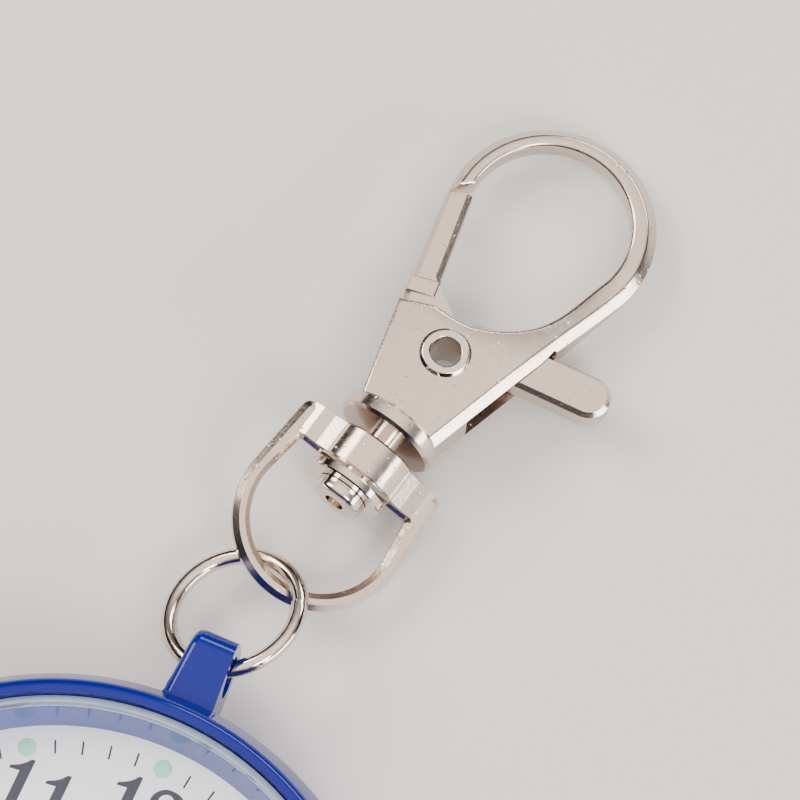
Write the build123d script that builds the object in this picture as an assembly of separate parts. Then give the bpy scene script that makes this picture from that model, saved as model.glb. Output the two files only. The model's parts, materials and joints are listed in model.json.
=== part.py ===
from build123d import *
from math import acos, asin, atan2, cos, degrees, hypot, radians, sin, sqrt
import os

os.makedirs("parts", exist_ok=True)

# Fob watch: a round quartz watch in a moulded case, a wire jump ring through the lug at twelve
# o'clock, and a die-cast swivel snap hook. It lies on its back with the hook laid out ahead of it.
# Millimetres. Origin at the centre of the case back's flat face, +Z up through the dial,
# +Y towards twelve o'clock and +X towards the crown at three o'clock.

# Case, measured as radius from the watch's axis and height above the table
CASE_R = 21.5
CASE_BOTTOM = 0.5
CASE_TOP = 9.9
SIDE_LOW = 3.0
SIDE_HIGH = 7.0
BEZEL_R = 20.35
CRYSTAL_R = 19.5
CRYSTAL_BOTTOM = 8.6
CRYSTAL_TOP = 9.6
CRYSTAL_BEVEL = 0.5
BACK_R = 19.6
BACK_SEAT = 1.3
BACK_TOP = 1.0
DIAL_R = 19.3
DIAL_BOTTOM = 5.65
DIAL_TOP = 6.1
DIAL_SHOWN_R = 18.25
REHAUT_TOP_R = 18.9
CASE_HOLLOW_R = 18.9
CASE_STEP_R = 19.35
FIT = 0.05

# Lug with its cross hole; it stands a little off the dial's twelve, as moulded cases do
LUG_TIP_Y = 26.35
LUG_ROOT_WIDTH = 3.5
LUG_TIP_WIDTH = 2.8
LUG_TURN = 0.8
LUG_HEIGHT = 4.5
LUG_HOLE_Y = 24.25
LUG_HOLE_Z = 5.05
LUG_HOLE_R = 1.42

# Jump ring: centre, tilt and wire
RING_CENTRE = (-0.46, 28.54, 4.06)
RING_NORMAL = (-0.357, 0.183, 0.916)
RING_R = 4.4
RING_WIRE_R = 0.54
RING_RISE = 0.3
RING_GAP_DIRECTION = 24.0
RING_GAP_ANGLE = 3.0

# Snap hook: middle of its flange, its heading clockwise from +Y and its slope down to the nose
HOOK_AT = (3.61, 43.88, 3.6)
HOOK_HEADING = 12.0
HOOK_SLOPE = 4.5
FLANGE_R = 3.52
FLANGE_HALF = 0.62
FOOT_RIGHT = (3.15, 0.3)
FLANK_BEVEL = 0.65
FLANK_TOP_Y = 12.0
RIM_ROUND = 0.35
NECK_START = 7.5
NECK_END = 17.5
BODY_HALF = 1.95
SLOT_HALF = 1.2
LOOP_HALF = 0.9
LOOP_CENTRE = (0.0, 17.9)
LOOP_R = 7.15
HOLLOW_CENTRE = (-0.2, 18.0)
HOLLOW_R = 5.55
PIVOT = (0.0, 6.0)
HUB_R = 2.5
TRIGGER_HALF = 1.05
LEVER_END = (9.08, 9.57)
LEVER_ANGLE = 10.7
LEVER_LENGTH = 7.9
LEVER_R = 1.48
EYELET_R = 1.28
EYELET_HOLE_R = 1.03
EYELET_HEAD_R = 1.72

# Swivel eye: it hangs a few degrees out of line on its loose pin, and leans to its right
EYE_BACK = 2.75
EYE_SLOPE = -1.5
EYE_LEAN = 17.2
EYE_WIRE = 1.15
EYE_THICK = 1.3
EYE_BEVEL = 0.38
EYE_HALF_WIDTH = 5.95
EYE_TOP_HALF_WIDTH = 5.55
EYE_BEND_Y = -4.75
EYE_TOP = 1.1
EYE_BAR = 2.5
BOSS_R = 2.95
BOSS_HALF = 1.27
PIN_R = 1.1
PIN_BORE_R = 1.3

# Movement: heights of its layers, and the tooth counts and modules of its wheels
MOVEMENT_R = 9.5
PLATE_BOTTOM = 3.9
PLATE_TOP = 4.5
BRIDGE_BOTTOM = 1.6
BRIDGE_TOP = 1.9
WHEEL = 0.15
CENTRE_WHEEL = (64, 0.085)
THIRD_PINION = (8, 0.085)
THIRD_WHEEL = (60, 0.09)
FOURTH_PINION = (8, 0.09)
FOURTH_WHEEL = (40, 0.12)
FIFTH_PINION = (8, 0.12)
FIFTH_WHEEL = (48, 0.08)
ROTOR_PINION = (8, 0.08)
CANNON_PINION = (12, 0.09)
MINUTE_WHEEL = (36, 0.09)
MINUTE_PINION = (10, 0.0864)
HOUR_WHEEL = (40, 0.0864)
THIRD_DIRECTION = 150.0
FIFTH_DIRECTION = 30.0
ROTOR_DIRECTION = 60.0
MINUTE_DIRECTION = 215.0
PIVOT_R = 0.1
ARBOR_R = 0.17
PIVOT_HOLE_R = 0.14

# Stem, crown and hands
STEM_Z = 3.2
STEM_R = 0.45
STEM_SQUARE = 0.5
CROWN_R = 2.4
CROWN_IN = 21.8
CROWN_OUT = 24.0
GROOVE_X = 7.4
GROOVE_R = 0.2
LEVER_PIVOT = (7.9, 2.0)
HOUR_ANGLE = 304.3
MINUTE_ANGLE = 51.6
SECOND_ANGLE = 216.0
HAND = 0.15

nodes = {}


# ---------- shared shapes ----------

def disc(radius, bottom, top, x=0.0, y=0.0):
    """An upright cylinder between two heights."""
    upright = (Align.CENTER, Align.CENTER, Align.MIN)
    return Pos(x, y, bottom) * Cylinder(radius, top - bottom, align=upright)


def tube(outer, inner, bottom, top, x=0.0, y=0.0):
    """An upright cylinder with a hole right through."""
    return disc(outer, bottom, top, x, y) - disc(inner, bottom - 1, top + 1, x, y)


def turned(outline):
    """A solid turned about Z from an outline of (radius, height) points."""
    return revolve(Plane.XZ * make_face(Polyline(*outline, close=True)), Axis.Z)


def slab(outline, bottom, top):
    """A flat plate with the given outline, between two heights."""
    return Pos(0, 0, bottom) * extrude(make_face(Polyline(*outline, close=True)), top - bottom)


def block(low, high):
    """A box between its lowest and highest corners."""
    size = [high[axis] - low[axis] for axis in range(3)]
    return Pos(*low) * Box(*size, align=(Align.MIN, Align.MIN, Align.MIN))


def along_x(radius, start, end):
    """A cylinder lying along X at the stem's height."""
    return Pos(start, 0, STEM_Z) * Rot(0, 90, 0) * disc(radius, 0, end - start)


def polar(distance, angle, centre=(0.0, 0.0)):
    """A point at a distance and angle from a centre, in plan."""
    return (centre[0] + distance * cos(radians(angle)), centre[1] + distance * sin(radians(angle)))


# ---------- case, crystal and dial ----------

def make_case_body():
    """Moulded case: bulged side, rounded bezel, stepped bore, drilled lug and crown tube bore."""
    side = [
        (BACK_R + 2 * FIT, CASE_BOTTOM),
        (CASE_R - 1.1, CASE_BOTTOM),
        (CASE_R, SIDE_LOW),
        (CASE_R, SIDE_HIGH),
        (BEZEL_R, CASE_TOP),
        (CRYSTAL_R + 2 * FIT, CASE_TOP - 0.15),
        (CRYSTAL_R + 2 * FIT, CRYSTAL_BOTTOM - 0.1),
        (CASE_STEP_R, CRYSTAL_BOTTOM - 0.1),
        (CASE_STEP_R, DIAL_BOTTOM),
        (CASE_HOLLOW_R, DIAL_BOTTOM),
        (CASE_HOLLOW_R, BACK_SEAT),
        (BACK_R + 2 * FIT, BACK_SEAT),
    ]
    outline = make_face(Polyline(*side, close=True))
    for height, radius, blend in ((CASE_TOP, BEZEL_R, 0.75), (SIDE_HIGH, CASE_R, 2.6), (SIDE_LOW, CASE_R, 2.4)):
        corner = outline.vertices().sort_by_distance((radius, height, 0))[0]
        outline = fillet(corner, blend)
    shell = revolve(Plane.XZ * outline, Axis.Z)

    # The lug's side view, drawn towards +Y and up, then given its width across X
    low = LUG_HOLE_Z - LUG_HEIGHT / 2
    high = LUG_HOLE_Z + LUG_HEIGHT / 2
    side_view = make_face(Polyline((CASE_R - 1.6, low), (LUG_TIP_Y, low), (LUG_TIP_Y, high),
                                   (CASE_R - 1.6, high), close=True))
    tips = side_view.vertices().sort_by(Axis.X)[2:]
    side_view = fillet(tips, 1.5)
    side_view -= Pos(LUG_HOLE_Y, LUG_HOLE_Z) * Circle(LUG_HOLE_R)
    lug = Pos(-LUG_ROOT_WIDTH / 2, 0, 0) * extrude(Plane.YZ * side_view, LUG_ROOT_WIDTH)
    root, tip = LUG_ROOT_WIDTH / 2, LUG_TIP_WIDTH / 2
    lug &= slab([(-root, CASE_R - 2), (root, CASE_R - 2), (root, CASE_R), (tip, LUG_TIP_Y + FIT),
                 (-tip, LUG_TIP_Y + FIT), (-root, CASE_R)], 0, CASE_TOP)
    body = shell + Rot(0, 0, LUG_TURN) * lug
    return body - along_x(0.9, CASE_HOLLOW_R - 1, CASE_R + 1)


def make_case_back():
    """Pressed steel back with a flat face, a turned-up shoulder and a snap rim."""
    return turned([(0, 0), (18.2, 0), (19.0, 0.3), (BACK_R, 0.45), (BACK_R, BACK_TOP),
                   (18.7, BACK_TOP), (18.5, 0.75), (0, 0.75)])


def make_crystal():
    """Flat acrylic crystal with a bevelled edge."""
    return turned([(0, CRYSTAL_BOTTOM), (CRYSTAL_R, CRYSTAL_BOTTOM),
                   (CRYSTAL_R, CRYSTAL_TOP - CRYSTAL_BEVEL), (CRYSTAL_R - CRYSTAL_BEVEL, CRYSTAL_TOP),
                   (0, CRYSTAL_TOP)])


def make_rehaut():
    """Sloping inner ring that stands on the dial's edge and carries the crystal."""
    top = CRYSTAL_BOTTOM - 0.12
    outer = CASE_STEP_R - FIT
    return turned([(DIAL_SHOWN_R, DIAL_TOP), (outer, DIAL_TOP), (outer, top), (REHAUT_TOP_R, top)])


nodes["case_body"] = make_case_body()
nodes["case_back"] = make_case_back()
nodes["case_back_gasket"] = tube(BACK_R, CASE_HOLLOW_R + 0.05, BACK_TOP, BACK_SEAT)
nodes["crystal"] = make_crystal()
nodes["crystal_gasket"] = tube(CRYSTAL_R, REHAUT_TOP_R + 0.05, CRYSTAL_BOTTOM - 0.1, CRYSTAL_BOTTOM)
nodes["rehaut_ring"] = make_rehaut()
nodes["dial"] = tube(DIAL_R, 1.2, DIAL_BOTTOM, DIAL_TOP)


# ---------- wheels of the movement ----------

def gear(teeth, module, bottom, top, phase=0.0, centre=(0.0, 0.0)):
    """A spur wheel with straight-sided teeth, one tooth pointing at the phase angle."""
    pitch = 360.0 / teeth
    pitch_r = teeth * module / 2
    flank = ((pitch_r - 1.15 * module, -0.3), (pitch_r + 0.9 * module, -0.11),
             (pitch_r + 0.9 * module, 0.11), (pitch_r - 1.15 * module, 0.3))
    outline = []
    for tooth in range(teeth):
        for radius, offset in flank:
            outline.append(polar(radius, phase + (tooth + offset) * pitch, centre))
    return slab(outline, bottom, top)


def centre_distance(wheel, pinion):
    """How far apart two meshed wheels of one module stand."""
    return (wheel[0] + pinion[0]) * wheel[1] / 2


def meshing_phase(driver_teeth, driver_phase, direction, teeth):
    """The phase that puts a gap of a wheel where its driver has a tooth."""
    driver_share = (direction - driver_phase) * driver_teeth / 360.0
    return direction + 180.0 - (0.5 - driver_share) * 360.0 / teeth


centre = (0.0, 0.0)
third_at = polar(centre_distance(CENTRE_WHEEL, THIRD_PINION), THIRD_DIRECTION)
fifth_at = polar(centre_distance(FOURTH_WHEEL, FIFTH_PINION), FIFTH_DIRECTION)
rotor_at = polar(centre_distance(FIFTH_WHEEL, ROTOR_PINION), ROTOR_DIRECTION, fifth_at)
minute_at = polar(centre_distance(MINUTE_WHEEL, CANNON_PINION), MINUTE_DIRECTION)


def arbor(at):
    """A train wheel's arbor, from its pivot in the bridge to its pivot in the main plate."""
    return disc(ARBOR_R, BRIDGE_TOP + FIT, PLATE_BOTTOM - FIT, *at) + disc(PIVOT_R, BRIDGE_BOTTOM, PLATE_TOP, *at)


def make_fourth_wheel():
    """Seconds wheel: wheel, pinion and the long arbor that carries the second hand."""
    long_arbor = disc(PIVOT_R, BRIDGE_BOTTOM, 2.0) + disc(ARBOR_R, BRIDGE_TOP + FIT, 7.4)
    pinion = gear(*FOURTH_PINION, 2.6, 3.05,
                  meshing_phase(THIRD_WHEEL[0], 0, THIRD_DIRECTION + 180, FOURTH_PINION[0]))
    return long_arbor + gear(*FOURTH_WHEEL, 2.3, 2.3 + WHEEL) + pinion


def make_third_wheel():
    """Third wheel: a pinion in mesh with the centre wheel, a wheel in mesh with the fourth pinion."""
    phase = meshing_phase(CENTRE_WHEEL[0], 0, THIRD_DIRECTION, THIRD_PINION[0])
    pinion = gear(*THIRD_PINION, 3.4, 3.82, phase, third_at)
    return arbor(third_at) + gear(*THIRD_WHEEL, 2.75, 2.75 + WHEEL, 0, third_at) + pinion


def make_centre_wheel():
    """Centre wheel on its tube, which turns in the main plate and carries the minute hand."""
    hub = disc(0.42, 3.45, 3.85) + disc(0.32, 3.45, 6.95)
    return hub + gear(*CENTRE_WHEEL, 3.55, 3.55 + WHEEL) - disc(ARBOR_R + FIT, 3, 8)


def make_fifth_wheel():
    """Intermediate wheel between the rotor and the fourth wheel."""
    phase = meshing_phase(FOURTH_WHEEL[0], 0, FIFTH_DIRECTION, FIFTH_PINION[0])
    pinion = gear(*FIFTH_PINION, 2.2, 2.55, phase, fifth_at)
    return arbor(fifth_at) + gear(*FIFTH_WHEEL, 3.1, 3.1 + WHEEL, 0, fifth_at) + pinion


def make_rotor():
    """Stepping rotor: a round magnet and its drive pinion on one arbor."""
    phase = meshing_phase(FIFTH_WHEEL[0], 0, ROTOR_DIRECTION, ROTOR_PINION[0])
    return arbor(rotor_at) + disc(0.6, 2.2, 2.9, *rotor_at) + gear(*ROTOR_PINION, 3.0, 3.4, phase, rotor_at)


def make_cannon_pinion():
    """Cannon pinion, pushed on the centre tube above the main plate."""
    return gear(*CANNON_PINION, 4.6, 5.15) + disc(0.5, 5.15, 5.3) - disc(0.32, 4, 6)


def make_minute_wheel():
    """Minute wheel and pinion, turning on a post of the main plate."""
    phase = meshing_phase(CANNON_PINION[0], 0, MINUTE_DIRECTION, MINUTE_WHEEL[0])
    body = gear(*MINUTE_WHEEL, 4.65, 4.8, phase, minute_at)
    body += gear(*MINUTE_PINION, 4.8, 5.45, 0, minute_at)
    return body - disc(0.22, 4, 6, *minute_at)


def make_hour_wheel():
    """Hour wheel on the tube that carries the hour hand."""
    phase = meshing_phase(MINUTE_PINION[0], 0, MINUTE_DIRECTION + 180, HOUR_WHEEL[0])
    return gear(*HOUR_WHEEL, 5.32, 5.32 + WHEEL, phase) + disc(0.8, 5.32, 6.6) - disc(0.37, 5, 7)


nodes["fourth_wheel"] = make_fourth_wheel()
nodes["third_wheel"] = make_third_wheel()
nodes["centre_wheel"] = make_centre_wheel()
nodes["fifth_wheel"] = make_fifth_wheel()
nodes["rotor"] = make_rotor()
nodes["cannon_pinion"] = make_cannon_pinion()
nodes["minute_wheel"] = make_minute_wheel()
nodes["hour_wheel"] = make_hour_wheel()


# ---------- fixed parts of the movement ----------

SCREWS_AT = ((-6.2, 4.3), (6.9, 3.7), (0.6, -7.9), (-0.2, 4.1))
BATTERY_AT = (-2.7, -5.2)
BATTERY_R = 2.9
BATTERY_BOTTOM = 1.4
BATTERY_TOP = 3.5
COIL_Y = 7.0
COIL_Z = 2.95


def make_main_plate():
    """Round plate with a skirt, screw pillars, pivot holes, a stem groove and the minute post."""
    plate = disc(MOVEMENT_R, PLATE_BOTTOM, PLATE_TOP)
    plate += tube(MOVEMENT_R, MOVEMENT_R - 0.3, BRIDGE_BOTTOM, PLATE_BOTTOM)
    plate += disc(0.17, PLATE_TOP, 5.2, *minute_at)
    for at in SCREWS_AT:
        plate += disc(0.55, BRIDGE_TOP, PLATE_BOTTOM, *at)
        plate -= disc(0.3, BRIDGE_TOP - 1, PLATE_BOTTOM, *at)
    plate -= disc(0.32 + 0.06, 3, 5)
    for at in (third_at, fifth_at, rotor_at):
        plate -= disc(PIVOT_HOLE_R, 3, 5, *at)
    plate -= disc(0.17, 3, 5, *LEVER_PIVOT)
    return plate - along_x(STEM_R + 0.1, 4.4, 10)


def make_train_bridge():
    """Bridge that holds the lower pivots of the train."""
    outline = [(-6.9, 3.6), (-6.4, 5.1), (-0.5, 5.2), (6.6, 4.7), (7.6, 3.6), (5.4, 1.2), (3.4, -1.2),
               (0.0, -1.6), (-3.2, -0.6)]
    bridge = slab(outline, BRIDGE_BOTTOM, BRIDGE_TOP)
    for at in (centre, third_at, fifth_at, rotor_at):
        bridge -= disc(PIVOT_HOLE_R, 1, 3, *at)
    for at in SCREWS_AT:
        bridge -= disc(0.34, 1, 3, *at)
    return bridge


def make_bridge_screws():
    """Slotted screws that hold the bridge and the battery clamp to the plate's pillars."""
    screws = []
    for at in SCREWS_AT:
        screw = disc(0.55, BRIDGE_BOTTOM - 0.27, BRIDGE_BOTTOM, *at)
        screw += disc(0.3, BRIDGE_BOTTOM, PLATE_BOTTOM - 0.3, *at)
        screw -= Pos(at[0], at[1], BRIDGE_BOTTOM - 0.27) * Box(2, 0.14, 0.2)
        screws.append(screw)
    return Compound(children=screws)


def make_battery():
    """Button cell with a stepped can."""
    cell = disc(BATTERY_R, BATTERY_BOTTOM, BATTERY_TOP - 0.25, *BATTERY_AT)
    return cell + disc(BATTERY_R - 0.35, BATTERY_TOP - 0.25, BATTERY_TOP, *BATTERY_AT)


def make_battery_clamp():
    """Spring strip across the cell, held by a bridge screw."""
    strip = slab([(-6.0, -6.0), (-5.4, -4.4), (1.2, -6.9), (1.5, -8.3), (0.3, -8.6)], 1.36, 1.39)
    strip += slab([(-0.3, -6.6), (1.2, -6.9), (1.5, -8.3), (0.3, -8.6), (-0.5, -8.3)], 1.39, BRIDGE_BOTTOM)
    return strip - disc(0.6, 1, 2, *SCREWS_AT[2])


def make_circuit_board():
    """Printed board beside the train, under the quartz can and the driver chip."""
    outline = [(4.0, -2.2), (7.9, -1.2), (8.3, -2.6), (7.2, -4.9), (5.4, -6.8), (3.2, -7.9), (2.0, -7.4),
               (1.7, -4.4)]
    return slab(outline, 1.3, 1.5)


def make_quartz_can():
    """Tuning fork crystal in its round can, with two leads."""
    can = Pos(5.7, -5.9, 2.26) * Rot(-90, 0, 0) * disc(0.72, 0, 4.0)
    for x in (5.5, 5.9):
        can += block((x - 0.06, -6.4, 2.2), (x + 0.06, -5.9, 2.32))
    return can


def make_coil_core():
    """Iron core of the coil, on the stator's two tabs, with its bobbin flanges."""
    core = block((-4.2, COIL_Y - 0.5, 2.75), (5.3, COIL_Y + 0.5, 3.15))
    for x in (-3.0, 4.2):
        core += Pos(x, COIL_Y, COIL_Z) * Box(0.2, 1.75, 1.7)
    return core


def make_coil_winding():
    """Fine copper winding between the bobbin flanges."""
    winding = Pos(-2.85, COIL_Y, COIL_Z) * Rot(0, 90, 0) * disc(0.82, 0, 6.9)
    return winding - block((-5, COIL_Y - 0.52, 2.73), (7, COIL_Y + 0.52, 3.17))


def make_stator():
    """Flat iron stator round the rotor, with a tab to each end of the coil core."""
    body = block((-4.2, 4.9, 2.35), (5.3, 5.9, 2.75))
    body += block((2.3, 2.35, 2.35), (4.95, 5.0, 2.75))
    body += block((-4.2, 5.5, 2.35), (-3.3, COIL_Y + 0.5, 2.75))
    body += block((4.4, 5.5, 2.35), (5.3, COIL_Y + 0.5, 2.75))
    return body - disc(0.78, 2, 3, *rotor_at)


def make_movement_holder():
    """Moulded ring that centres the movement in the case and backs the dial."""
    outer = CASE_HOLLOW_R - 0.1
    ring = tube(outer, MOVEMENT_R + 0.1, 4.8, DIAL_BOTTOM - FIT)
    ring += tube(outer, outer - 0.8, 1.5, 4.8)
    ring += tube(MOVEMENT_R + 0.9, MOVEMENT_R + 0.1, 1.7, 4.8)
    for angle in range(30, 360, 60):
        ring += Rot(0, 0, angle) * block((MOVEMENT_R + 0.5, -0.4, 1.9), (outer - 0.4, 0.4, 4.8))
    return ring - block((5, -0.8, 1), (20, 0.8, 4.0))


def make_clutch_lever():
    """Flat lever that steadies the clutch pinion beside its groove."""
    return slab([(5.0, -0.72), (5.4, -0.72), (5.5, -1.3), (4.4, -2.0), (4.0, -1.6), (4.9, -1.2)], 3.1, 3.3)


nodes["main_plate"] = make_main_plate()
nodes["train_bridge"] = make_train_bridge()
nodes["bridge_screws"] = make_bridge_screws()
nodes["battery"] = make_battery()
nodes["battery_clamp"] = make_battery_clamp()
nodes["circuit_board"] = make_circuit_board()
nodes["driver_chip"] = block((3.0, -6.0, 1.5), (4.4, -4.6, 1.95))
nodes["quartz_can"] = make_quartz_can()
nodes["coil_core"] = make_coil_core()
nodes["coil_winding"] = make_coil_winding()
nodes["stator"] = make_stator()
nodes["movement_holder"] = make_movement_holder()
nodes["clutch_lever"] = make_clutch_lever()


# ---------- stem and crown ----------

def make_stem():
    """Stem: squared inner end, a groove for the setting lever and a long plain shank."""
    square = Pos(4.6, 0, STEM_Z) * Box(2.2, STEM_SQUARE, STEM_SQUARE, align=(Align.MIN, Align.CENTER, Align.CENTER))
    front = along_x(STEM_R, 6.6, GROOVE_X - 0.25)
    groove = along_x(GROOVE_R, GROOVE_X - 0.3, GROOVE_X + 0.3)
    return square + front + groove + along_x(STEM_R, GROOVE_X + 0.25, 23.2)


def make_clutch_pinion():
    """Toothed clutch pinion with a square hole that slides on the stem."""
    wheel = Pos(4.8, 0, STEM_Z) * Rot(0, 90, 0) * gear(14, 0.08, 0, 0.7)
    collar = along_x(0.42, 5.5, 5.8)
    return wheel + collar - Pos(5.3, 0, STEM_Z) * Box(3, STEM_SQUARE + 0.06, STEM_SQUARE + 0.06)


def make_setting_lever():
    """Small lever whose pin end rides in the stem's groove and swings as the crown is pulled."""
    reach = 1.6
    swing = asin((LEVER_PIVOT[0] - GROOVE_X) / reach)
    tip = (GROOVE_X, LEVER_PIVOT[1] - reach * cos(swing))
    angle = degrees(atan2(tip[1] - LEVER_PIVOT[1], tip[0] - LEVER_PIVOT[0]))
    arm = Pos(*LEVER_PIVOT, 3.1) * Rot(0, 0, angle) * block((0, -0.15, 0), (reach, 0.15, 0.2))
    return arm + disc(0.15, 3.1, 3.3, *tip) + disc(0.4, 3.1, 3.3, *LEVER_PIVOT) + disc(0.13, 3.3, 4.4, *LEVER_PIVOT)


def make_crown():
    """Fluted crown with a recess that slips over the case tube."""
    crown = Pos(CROWN_IN, 0, STEM_Z) * Rot(0, 90, 0) * chamfer(
        disc(CROWN_R, 0, CROWN_OUT - CROWN_IN).edges().filter_by(GeomType.CIRCLE), 0.3)
    for flute in range(24):
        offset = Rot(360.0 / 24 * flute, 0, 0) * Pos(0, CROWN_R + 0.12, 0)
        crown -= Pos(0, 0, STEM_Z) * offset * Rot(0, 90, 0) * disc(0.24, CROWN_IN - 1, CROWN_OUT + 1)
    return crown - along_x(1.3, CROWN_IN - 1, CROWN_IN + 0.9) - along_x(STEM_R, CROWN_IN, 23.2)


nodes["stem"] = make_stem()
nodes["clutch_pinion"] = make_clutch_pinion()
nodes["setting_lever"] = make_setting_lever()
nodes["crown"] = make_crown()
nodes["crown_gasket"] = along_x(1.28, CROWN_IN + 0.1, CROWN_IN + 0.8) - along_x(0.93, CROWN_IN, CROWN_IN + 1)
nodes["stem_tube"] = along_x(0.9, CASE_HOLLOW_R, CROWN_IN + 0.5) - along_x(STEM_R + 0.08, 18, 23)


# ---------- hands ----------

def hand(length, tail, width, hole_r, boss_r, bottom, angle):
    """A straight tapered hand with a round boss, pointing at a clockwise angle from twelve."""
    blade = slab([(-width / 2, -tail), (width / 2, -tail), (width / 2, length * 0.82), (0, length),
                  (-width / 2, length * 0.82)], bottom, bottom + HAND)
    body = blade + disc(boss_r, bottom, bottom + HAND) - disc(hole_r, bottom - 1, bottom + 1)
    return Rot(0, 0, -angle) * body


nodes["hour_hand"] = hand(9.4, 1.8, 1.3, 0.8, 1.3, 6.42, HOUR_ANGLE)
nodes["minute_hand"] = hand(13.6, 2.4, 0.95, 0.32, 0.95, 6.78, MINUTE_ANGLE)
nodes["second_hand"] = hand(14.6, 4.2, 0.3, ARBOR_R, 0.6, 7.22, SECOND_ANGLE)


# ---------- jump ring ----------

def make_jump_ring():
    """One turn of round wire whose cut ends stand slightly apart and out of line."""
    turn = Helix(pitch=RING_RISE, height=RING_RISE * (1 - RING_GAP_ANGLE / 360), radius=RING_R)
    start = Plane(turn @ 0, z_dir=turn % 0)
    wire = sweep(start * Circle(RING_WIRE_R), path=turn, is_frenet=True)
    return Pos(0, 0, -RING_RISE / 2) * Rot(0, 0, RING_GAP_ANGLE / 2) * wire


gap_x_dir = (cos(radians(RING_GAP_DIRECTION)), sin(radians(RING_GAP_DIRECTION)), 0)
ring_frame = Plane(RING_CENTRE, x_dir=Vector(*gap_x_dir).project_to_plane(Plane((0, 0, 0), z_dir=RING_NORMAL)),
                   z_dir=RING_NORMAL)
nodes["jump_ring"] = ring_frame * make_jump_ring()


# ---------- swivel eye, pin and washer ----------

def frame_at(origin, heading, slope, lean):
    """Plane with +Y along a heading clockwise from +Y and a downward slope, leaning to its right."""
    forward = Vector(sin(radians(heading)) * cos(radians(slope)), cos(radians(heading)) * cos(radians(slope)),
                     -sin(radians(slope)))
    level = Vector(cos(radians(heading)), -sin(radians(heading)), 0)
    upright = level.cross(forward)
    across = level * cos(radians(lean)) - upright * sin(radians(lean))
    return Plane(origin, x_dir=across, z_dir=across.cross(forward))


hook_frame = frame_at(HOOK_AT, HOOK_HEADING, HOOK_SLOPE, 0)
eye_frame = frame_at((hook_frame * Pos(0, -EYE_BACK, 0)).position, HOOK_HEADING, EYE_SLOPE, EYE_LEAN)


def along_y(radius, start, end):
    """A cylinder lying along Y."""
    return Pos(0, start, 0) * Rot(-90, 0, 0) * disc(radius, 0, end - start)


def d_outline(inset, top):
    """The eye's D shape up to a flat top, drawn a distance inside its outer edge."""
    radius = EYE_HALF_WIDTH - inset
    corner = (EYE_TOP_HALF_WIDTH - inset, top)
    reach = hypot(corner[0], corner[1] - EYE_BEND_Y)
    touch = degrees(atan2(corner[1] - EYE_BEND_Y, corner[0]) - acos(radius / reach))
    right = polar(radius, touch, (0, EYE_BEND_Y))
    arms = Polyline((-right[0], right[1]), (-corner[0], top), corner, right)
    bend = ThreePointArc((-right[0], right[1]), (0, EYE_BEND_Y - radius), right)
    return make_face(arms + bend)


def make_swivel_eye():
    """Die-cast D with a wide bar, and a barrel on the bar bored for the swivel pin."""
    outside = d_outline(0, EYE_TOP)
    outside = fillet(outside.vertices().group_by(Axis.Y)[-1], 0.7)
    hollow = d_outline(EYE_WIRE, EYE_TOP - EYE_BAR)
    hollow = fillet(hollow.vertices().group_by(Axis.Y)[-1], 0.3)
    wire = Pos(0, 0, -EYE_THICK / 2) * extrude(outside - hollow, EYE_THICK)
    wire = chamfer(wire.edges().filter_by(lambda edge: edge.length > 3 and abs(edge.center().Z) > 0.3), EYE_BEVEL)
    barrel = chamfer(along_y(BOSS_R, -BOSS_HALF, BOSS_HALF).edges().filter_by(GeomType.CIRCLE), 0.15)
    shoulder = [(5.0, 0.5), (4.4, 0.95), (3.5, 1.0), (2.7, 1.5)]
    rise = [(-x, z) for x, z in shoulder] + shoulder[::-1]
    section = make_face(Polyline(*rise, *[(x, -z) for x, z in rise[::-1]], close=True))
    shoulders = Pos(0, BOSS_HALF - 0.2, 0) * extrude(Plane.XZ * section, 2 * BOSS_HALF - 0.3)
    return wire + shoulders + barrel - along_y(PIN_BORE_R, -3, 3)


def make_swivel_pin():
    """Tubular rivet: shank through the eye into the hook, with a rolled head."""
    pin = along_y(PIN_R, -5.6, 2.2) + along_y(1.8, -6.15, -5.25)
    pin = fillet(pin.edges().filter_by(GeomType.CIRCLE).group_by(Axis.Y)[0], 0.4)
    return pin - along_y(0.7, -7, -5.5)


def make_swivel_washer():
    """Plain washer between the eye's barrel and the rivet head."""
    washer = along_y(2.85, -5.2, -4.55) - along_y(PIN_R + 0.05, -6, -4)
    return chamfer(washer.edges().filter_by(GeomType.CIRCLE).filter_by(lambda edge: edge.radius > 2), 0.1)


nodes["swivel_eye"] = eye_frame * make_swivel_eye()
nodes["swivel_pin"] = hook_frame * make_swivel_pin()
nodes["swivel_washer"] = hook_frame * make_swivel_washer()


# ---------- snap hook ----------

def tangent_point(start, centre_of_arc, radius):
    """Where a line from a point touches a circle that lies up and to its left."""
    across = centre_of_arc[0] - start[0]
    up = centre_of_arc[1] - start[1]
    distance = hypot(across, up)
    bearing = atan2(up, across) - asin(radius / distance)
    reach = sqrt(distance ** 2 - radius ** 2)
    return (start[0] + reach * cos(bearing), start[1] + reach * sin(bearing))


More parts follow.
